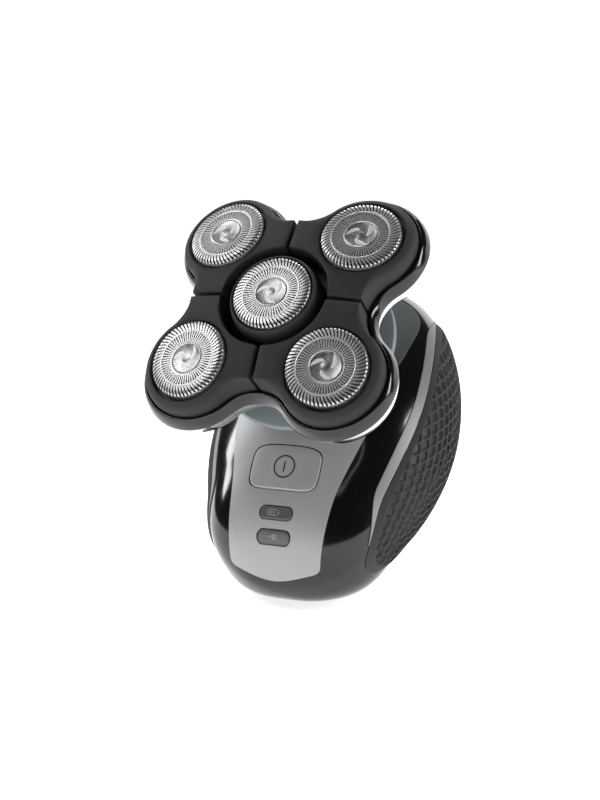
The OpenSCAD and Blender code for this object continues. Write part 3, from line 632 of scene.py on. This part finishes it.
class SHAVER_OT_deck(bpy.types.Operator):
    """Dark deck under the head, and the grey collar of the neck"""
    bl_idname = "shaver.deck"
    bl_label = "Deck and collar"

    def execute(self, context):
        shares = [0, 0.15, 0.3, 0.45, 0.58, 0.7, 0.8, 0.88, 0.93, 0.965, 0.985, 1.0]
        drops = [0.0] * 9 + [0.03, 0.12, 0.3]

        def place(row, angle):
            dx, ds = rounded(angle, DECK_W * shares[row], DECK_L * shares[row], 3) if row else (0, 0)
            s = DECK_S + ds
            return body_point(dx, s, form_c(dx, s) - drops[row])
        bm = swept(len(shares), 160, place)
        if sum(f.normal.z for f in bm.faces) < 0:
            bmesh.ops.reverse_faces(bm, faces=bm.faces)
        piece("deck", bm, "deck_satin", "body", ["deck_plate"], PLATE_T)
        profile = [(13, -28.5), (26.2, -28.5), (26.8, -28.7), (27.1, -29.3), (27.1, -30.3), (26.8, -30.9),
                   (26.2, -31.1), (13, -31.1)]
        collar = swept(len(profile), 160, lambda row, a: face_point(
            profile[row][0] * math.cos(a), profile[row][0] * math.sin(a), profile[row][1]), closed=True)
        piece("collar", collar, "collar_grey", "body", ["neck_collar"])
        return {"FINISHED"}


def side_point(side, s, c, up):
    """A point up above the body's flank."""
    return body_point(side * (form_x(s, c) + up), s, c)


def side_outline(angle, length, height):
    """A point of a flank outline, whose front edge is straighter than an ellipse's."""
    return rounded(angle, length, height, 2.0 + 0.25 * max(math.sin(angle), 0))


def leaf(sizes, s, c):
    """Depth of the grip's leaf pattern, from 0 on a ridge to 1 in a leaf. Odd rows sit between even ones."""
    depth = 0.0
    column = c / sizes.leaf_w + 0.16 * s / sizes.leaf_l
    for shift in (0, 0.5):
        along = ((s / sizes.leaf_l + shift) % 1) * 2 - 1
        over = ((column + shift) % 1) * 2 - 1
        reach = 0.33 + 0.5 * math.cos(math.pi * along)
        depth = max(depth, ramp(reach - abs(over), 0.0, 0.14))
    return depth


class SHAVER_OT_sides(bpy.types.Operator):
    """Bright strips and ribbed grips on both flanks"""
    bl_idname = "shaver.sides"
    bl_label = "Strips and grips"

    def execute(self, context):
        sizes = context.scene.shaver_body
        for side, word in ((-1, "left"), (1, "right")):
            out = Vector((side, 0, 0))

            def strip_place(u, v):
                a = math.radians(7 + 164 * u)
                wide = STRIP_W * v * ramp(min(u, 1 - u), -0.03, 0.12)
                s, c = side_outline(a, STRIP_L + wide, STRIP_H + wide)
                return side_point(side, s, c, 0)
            piece("strip_band_" + word, sheet(200, 8, strip_place, out), "side_strip", "body",
                  ["strip_" + word], PLATE_T, 0.12)

            depths = []

            def grip_place(u, v):
                p, q = 2 * u - 1, 2 * v - 1
                ex = p * math.sqrt(1 - q * q / 2)
                ey = q * math.sqrt(1 - p * p / 2)
                edge = math.hypot(ex, ey)
                s, c = (share * edge for share in side_outline(math.atan2(ey, ex), GRIP_L, GRIP_H))
                rise = sizes.grip_rise * (1 - ramp(edge, 0.94, 1.0)) - 0.2 * ramp(edge, 0.96, 1.0)
                depth = leaf(sizes, s, c) * (1 - ramp(edge, 0.93, 0.95))
                depths.append(depth)
                return side_point(side, s, c, rise - 0.7 * depth)
            bm = sheet(440, 220, grip_place, out)
            bm.verts.index_update()
            # Faces deep in a leaf get the second, near-black material. This is painted shade in the leaf hollows,
            # because the shallow relief alone doesn't darken them.
            for face in bm.faces:
                if sum(depths[vert.index] for vert in face.verts) > 2.6:
                    face.material_index = 1
            grip = piece("grip_pad_" + word, bm, "grip_rubber", "body", ["grip_" + word], sharp=60)
            grip.data.materials.append(material("grip_cell_painted_shade"))
        return {"FINISHED"}


class SHAVER_OT_foot(bpy.types.Operator):
    """Foot pad that the shaver stands on"""
    bl_idname = "shaver.foot"
    bl_label = "Foot"

    def execute(self, context):
        low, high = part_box("foot_pad")
        middle = (low + high) / 2
        half = (high - low) / 2
        profile = [(0, 0), (0.6, 0), (0.90, 0), (0.96, 0.02), (0.99, 0.07), (1, 0.16), (1, 0.6), (1, 1), (0, 1)]

        def place(row, angle):
            share, up = profile[row]
            dx, dy = rounded(angle, half.x * share, half.y * share, 4) if share else (0, 0)
            return Vector((middle.x + dx, middle.y + dy, low.z + up * (high.z - low.z)))
        piece("foot", swept(len(profile), 96, place), "foot_rubber", "body", ["foot_pad"])
        return {"FINISHED"}


# ---- the head ----
def band(profile, steps=288):
    """A closed band round the head. Its profile is a list of (inset, height)."""
    def place(row, angle):
        inset, z = profile[row]
        reach = flower(angle, inset)
        return face_point(reach * math.cos(angle), reach * math.sin(angle), z)
    return swept(len(profile), steps, place, closed=True)


class SHAVER_OT_casing(bpy.types.Operator):
    """Gloss casing and bright trim round the head"""
    bl_idname = "shaver.casing"
    bl_label = "Head casing and trim"

    def execute(self, context):
        casing = [(1.95, -9.5), (1.85, -9.28), (1.7, -9.2), (1.45, -9.22), (1.15, -9.5), (0.8, -10.1), (0.45, -10.9),
                  (0.18, -11.8), (0.04, -12.5), (0.0, -12.85), (0.12, -13.0), (2.6, -13.0), (2.0, -12.1)]
        piece("casing", band(casing), "gloss_black", "head", ["head_casing"])
        trim = [(0.35, -13.08), (0.22, -13.2), (0.25, -13.8), (0.4, -14.6), (0.65, -15.5), (1.0, -16.4), (1.45, -17.25),
                (1.7, -17.5), (2.0, -17.6), (3.2, -17.6), (2.2, -16.0), (2.2, -13.08)]
        piece("trim", band(trim), "bright_trim", "head", ["trim_ring"])
        return {"FINISHED"}


def petal_reach(angle, inset, gap, hole):
    """Distance from a lobe's middle to the petal's edge, and 1 on its outer side or 0 along its gaps."""
    lobe = LOBE_R - inset
    ca, sa = math.cos(angle), math.sin(angle)
    low, high = TANGENT, math.pi / 2 - TANGENT
    around = (angle - low) % (2 * math.pi) + low
    if around <= high:
        return lobe, 1.0
    outer, inner = [], []
    if ca < 0:
        inner.append((LOBE_PITCH - gap) / -ca)
    if sa < 0:
        inner.append((LOBE_PITCH - gap) / -sa)
    for cx, cy, r in ((FILLET_D, 0, FILLET_R + inset), (0, FILLET_D, FILLET_R + inset), (0, 0, hole)):
        dx, dy = LOBE_PITCH - cx, LOBE_PITCH - cy
        b = dx * ca + dy * sa
        under = b * b - (dx * dx + dy * dy - r * r)
        if under > 0 and -b - math.sqrt(under) > 0:
            (inner if r == hole else outer).append(-b - math.sqrt(under))
    near = sum(t ** -60 for t in inner + outer) ** (-1 / 60)
    out, gap_side = min(outer, default=1e3), min(inner, default=1e3)
    return near, ramp(gap_side - out, -0.6, 1.2)


def turned(x, y, angle):
    return x * math.cos(angle) - y * math.sin(angle), x * math.sin(angle) + y * math.cos(angle)


def petal_bm(sizes, place_no):
    """One petal: up the guard's opening, over the dome, round the shoulder and down the outside."""
    half_gap = sizes.petal_gap / 2
    turn = math.radians(90 * (place_no - 1))
    hole_r = sizes.guard_r + 0.75
    # Each row is how far it is from the opening's edge or from the outer edge, and how far below the dome.
    rows = [("hole", 0.0, 3.2), ("hole", 0.0, 0.9), ("hole", 0.0, 0.35), ("hole", 0.12, 0.12), ("hole", 0.35, 0.0),
            ("share", 0.4, 0.0), ("share", 0.75, 0.02),
            ("edge", 1.9, 0.10), ("edge", 1.35, 0.3), ("edge", 0.9, 0.62), ("edge", 0.55, 1.05), ("edge", 0.28, 1.6),
            ("edge", 0.1, 2.4), ("edge", 0.0, 3.6), ("base", 0.0, -10.7), ("base", 1.4, -10.7), ("edge", 1.5, 3.6)]

    def place(row, angle):
        kind, first, second = rows[row]
        reach, outer = petal_reach(angle, 2.3, half_gap, sizes.centre_r)
        shoulder = 0.22 + 0.78 * outer
        near = min(hole_r, reach - 0.3)
        if kind == "hole":
            r = near + min(first, 0.2 * (reach - near))
        elif kind == "share":
            r = near + 0.35 + (reach - 1.9 * shoulder - near - 0.35) * first
            r = max(r, near + 0.2 * (reach - near))
        else:
            r = max(reach - first, near + 0.1 * (reach - near) if first < 1.4 else near)
            if kind == "edge" and first:
                room = reach - near
                r = reach - min(first * shoulder, 0.75 * room * first / 1.9)
        x, y = LOBE_PITCH + r * math.cos(angle), LOBE_PITCH + r * math.sin(angle)
        fall = second * (shoulder if kind == "edge" and first else 1)
        z = second if kind == "base" else dome(x, y) - fall
        return face_point(*turned(x, y, turn), z)
    return swept(len(rows), 240, place, closed=True)


class SHAVER_OT_petals(bpy.types.Operator):
    """Four matt petals and the centre cone"""
    bl_idname = "shaver.petals"
    bl_label = "Petals and cone"

    def execute(self, context):
        sizes = context.scene.shaver_head
        for number in CORNERS:
            piece(f"petal_shell_{number}", petal_bm(sizes, number), "petal_black", f"petal_{number}",
                  [f"petal_{number}"])
        cone = [(11.65, -3.1), (11.65, -1.1), (11.75, -0.9), (11.95, -0.8), (12.2, -0.95), (12.6, -1.9), (12.9, -3.0),
                (13.1, -4.2), (13.2, -5.4), (13.2, -9.4), (12.0, -9.4), (12.0, -3.4)]
        bm = swept(len(cone), 160, lambda row, a: face_point(
            cone[row][0] * math.cos(a), cone[row][0] * math.sin(a), cone[row][1]), closed=True)
        piece("cone", bm, "petal_black", "centre", ["centre_cone"])
        return {"FINISHED"}


def spun(place_no, profile, steps=144, closed=True):
    return swept(len(profile), steps, lambda row, a: lobe_point(
        place_no, profile[row][0] * math.cos(a), profile[row][0] * math.sin(a), profile[row][1]), closed)


def bars(place_no, count, profile, width, twist, thick, start=0.0):
    """A ring of bars: one bar is a line of vertices pushed sideways and down, repeated round the axis."""
    bm = bmesh.new()
    rows = []
    for r, z in profile:
        half = math.asin(width / 2 / r)
        lean = twist * (r - profile[0][0])
        low = z - thick
        rows.append([(r, -half + lean, z), (r, half + lean, z), (r, half + lean, low), (r, -half + lean, low)])
    for n in range(count):
        base = start + 2 * math.pi * n / count
        loops = []
        for row in rows:
            loops.append([bm.verts.new(lobe_point(place_no, r * math.cos(base + a), r * math.sin(base + a), z))
                          for r, a, z in row])
        edges = []
        for loop in loops:
            edges.append([bm.edges.new((loop[i], loop[(i + 1) % 4])) for i in range(4)])
        for first, second in zip(edges, edges[1:]):
            bmesh.ops.bridge_loops(bm, edges=first + second)
        bm.faces.new(loops[0])
        bm.faces.new(loops[-1])
    bmesh.ops.recalc_face_normals(bm, faces=bm.faces)
    return bm


def swirl(place_no, number, inner, outer, z):
    """One curved blade of the cap's mark, pointed at both ends."""
    base = 2 * math.pi * number / 3

    def place(u, v):
        r = inner + (outer - inner) * u
        half = 0.62 * math.sin(math.pi * min(max(u, 0.02), 0.98)) ** 0.7 * (1.6 / r)
        a = base + 1.15 * u + half * (2 * v - 1)
        return lobe_point(place_no, r * math.cos(a), r * math.sin(a), z)
    normal = lobe_point(place_no, 0, 0, 1) - lobe_point(place_no, 0, 0, 0)
    return sheet(16, 6, place, normal)


class SHAVER_OT_guards(bpy.types.Operator):
    """Five slotted guards with their caps, each with a three-bladed mark"""
    bl_idname = "shaver.guards"
    bl_label = "Guards"

    def execute(self, context):
        sizes = context.scene.shaver_head
        r = sizes.guard_r
        rim = [(r - 0.32, -1.15), (r - 0.05, -1.1), (r, -1.25), (r, -3.2), (r - 0.6, -3.2), (r - 0.6, -1.3)]
        middle = [(7.85, -0.08), (8.05, 0.0), (8.35, 0.0), (8.5, -0.1), (8.5, -0.5), (7.85, -0.5)]
        hub = [(sizes.cap_r, -0.1), (5.15, -0.06), (5.2, -0.5), (sizes.cap_r, -0.5)]
        cap = [(0, 0.02), (1.0, 0.02), (1.15, -0.03), (1.4, -0.03), (4.2, -0.03), (4.32, 0.02), (4.4, 0.1),
               (4.62, 0.1), (sizes.cap_r, 0.0), (sizes.cap_r, -0.5), (0, -0.5)]
        outer_bars = [(8.4, -0.02), (9.4, -0.03), (10.2, -0.08), (10.75, -0.22), (r - 0.14, -0.5), (r - 0.02, -0.85),
                      (r - 0.02, -1.3)]
        inner_bars = [(5.1, -0.05), (6.5, -0.02), (7.95, -0.02)]
        for number in PLACES:
            body = "centre" if number == 5 else f"petal_{number}"
            start = math.radians(40 * number)
            bm = joined([
                spun(number, rim), spun(number, middle), spun(number, hub),
                bars(number, sizes.slots, outer_bars, 0.58, 0.045, 0.4, start),
                bars(number, sizes.slots, inner_bars, 0.34, 0.0, 0.4, start)])
            piece(f"guard_foil_{number}", bm, "guard_steel", body, [f"guard_{number}"], sharp=50)
            piece(f"guard_cap_{number}", spun(number, cap, 96, False), "cap_steel", body)
            mark = joined([swirl(number, n, 1.5, 4.15, -0.01) for n in range(3)])
            piece(f"cap_mark_{number}", mark, "cap_inlay", body, thick=0.03)
        return {"FINISHED"}


# ---- carried-over nodes ----
class SHAVER_OT_inner_pieces(bpy.types.Operator):
    """Finishes for the nodes that keep their own shape"""
    bl_idname = "shaver.inner_pieces"
    bl_label = "Inner pieces"

    def execute(self, context):
        for row in frame["record"]["subparts"]:
            node = frame["nodes"][row["node"]]
            node.data.materials.clear()
            node.data.materials.append(material(SLOT_FINISH[row["material_slot"]]))
        return {"FINISHED"}


# ---- the stage ----
def area_light(name, place, target, size, power, colour=(1, 1, 1)):
    light = bpy.data.lights.new(name, "AREA")
    light.shape = "RECTANGLE"
    light.size, light.size_y = size
    light.energy = power
    light.color = colour
    obj = bpy.data.objects.new(name, light)
    obj.location = place
    obj.rotation_euler = (Vector(target) - Vector(place)).to_track_quat("-Z", "Y").to_euler()
    bpy.context.scene.collection.objects.link(obj)
    return obj


class SHAVER_OT_stage(bpy.types.Operator):
    """Floor, soft studio lights and camera"""
    bl_idname = "shaver.stage"
    bl_label = "Stage"

    def execute(self, context):
        made, tree, shader = new_nodes("stage_pale")
        shader.inputs["Base Color"].default_value = (0.93, 0.93, 0.93, 1)
        shader.inputs["Roughness"].default_value = 0.9
        shader.inputs["Specular IOR Level"].default_value = 0.1
        shader.inputs["Emission Color"].default_value = (1, 1, 1, 1)
        shader.inputs["Emission Strength"].default_value = 0.8

        back, curve_r, quarter = 1.3, 0.6, 0.94

        def sweep(u, v):
            """Flat floor up to back, then a quarter round, then an upright wall."""
            x, y = 5 * (u - 0.5), 4.2 * v - 1.6
            over = max(y - back, 0)
            if over < quarter:
                turn = over / curve_r
                return Vector((x, back + curve_r * math.sin(turn) if over else y, curve_r * (1 - math.cos(turn))))
            return Vector((x, back + curve_r, over - (quarter - curve_r)))
        bm = sheet(40, 120, sweep, Vector((0, -1, 1)))
        floor = make_object("floor", bm, made)
        world = bpy.data.worlds.new("studio")
        world.use_nodes = True
        world.node_tree.nodes["Background"].inputs["Color"].default_value = (1, 1, 1, 1)
        world.node_tree.nodes["Background"].inputs["Strength"].default_value = 0.03
        context.scene.world = world
        area_light("left_box", (-0.95, 0.05, 0.55), (0, 0, 0.07), (0.2, 0.6), 3.5)
        area_light("top_box", (-0.15, 0.55, 0.95), (0, 0, 0.07), (0.8, 0.25), 6)
        area_light("right_box", (0.9, 0.15, 0.40), (0, 0, 0.07), (0.2, 0.6), 4)
        area_light("front_box", (-0.30, -1.30, 0.10), (0, 0, 0.05), (1.1, 0.14), 2.2)
        area_light("high_box", (-0.80, -0.60, 1.15), (0, 0, 0.05), (0.5, 0.5), 5)
        camera_data = bpy.data.cameras.new("camera")
        camera_data.lens = 62.2
        camera_data.sensor_width = 36
        camera = bpy.data.objects.new("camera", camera_data)
        right = Vector((0.9141, 0.4055, 0.0))
        up = Vector((-0.0631, 0.1421, 0.9879))
        back = right.cross(up)
        place = Vector((160.2, -371.3, 120.6)) * MM
        camera.matrix_world = Matrix((
            (right.x, up.x, back.x, place.x), (right.y, up.y, back.y, place.y),
            (right.z, up.z, back.z, place.z), (0, 0, 0, 1)))
        context.scene.collection.objects.link(camera)
        context.scene.camera = camera
        context.scene.view_settings.view_transform = "Standard"
        return {"FINISHED"}


OPERATORS = (SHAVER_OT_stage, SHAVER_OT_inner_pieces, SHAVER_OT_shells, SHAVER_OT_panel, SHAVER_OT_controls,
             SHAVER_OT_deck, SHAVER_OT_sides, SHAVER_OT_foot, SHAVER_OT_casing, SHAVER_OT_petals, SHAVER_OT_guards)


class SHAVER_PT_sidebar(bpy.types.Panel):
    bl_idname = "SHAVER_PT_sidebar"
    bl_label = "Palm shaver"
    bl_space_type = "VIEW_3D"
    bl_region_type = "UI"
    bl_category = "Shaver"

    def draw(self, context):
        for operator in OPERATORS:
            self.layout.operator(operator.bl_idname)


GROUPS = {"shaver_body": ShaverBody, "shaver_head": ShaverHead, "shaver_look": ShaverLook}


def register():
    for cls in (*GROUPS.values(), *OPERATORS, SHAVER_PT_sidebar):
        bpy.utils.register_class(cls)
    for name, cls in GROUPS.items():
        setattr(bpy.types.Scene, name, PointerProperty(type=cls))


def unregister():
    for name in GROUPS:
        delattr(bpy.types.Scene, name)
    for cls in reversed((*GROUPS.values(), *OPERATORS, SHAVER_PT_sidebar)):
        bpy.utils.unregister_class(cls)


def main():
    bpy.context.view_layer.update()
    register()
    bpy.ops.shaver.stage()
    bpy.ops.shaver.inner_pieces()
    bpy.ops.shaver.shells()
    bpy.ops.shaver.panel()
    bpy.ops.shaver.controls()
    bpy.ops.shaver.deck()
    bpy.ops.shaver.sides()
    bpy.ops.shaver.foot()
    bpy.ops.shaver.casing()
    bpy.ops.shaver.petals()
    bpy.ops.shaver.guards()


if __name__ == "__main__":
    main()
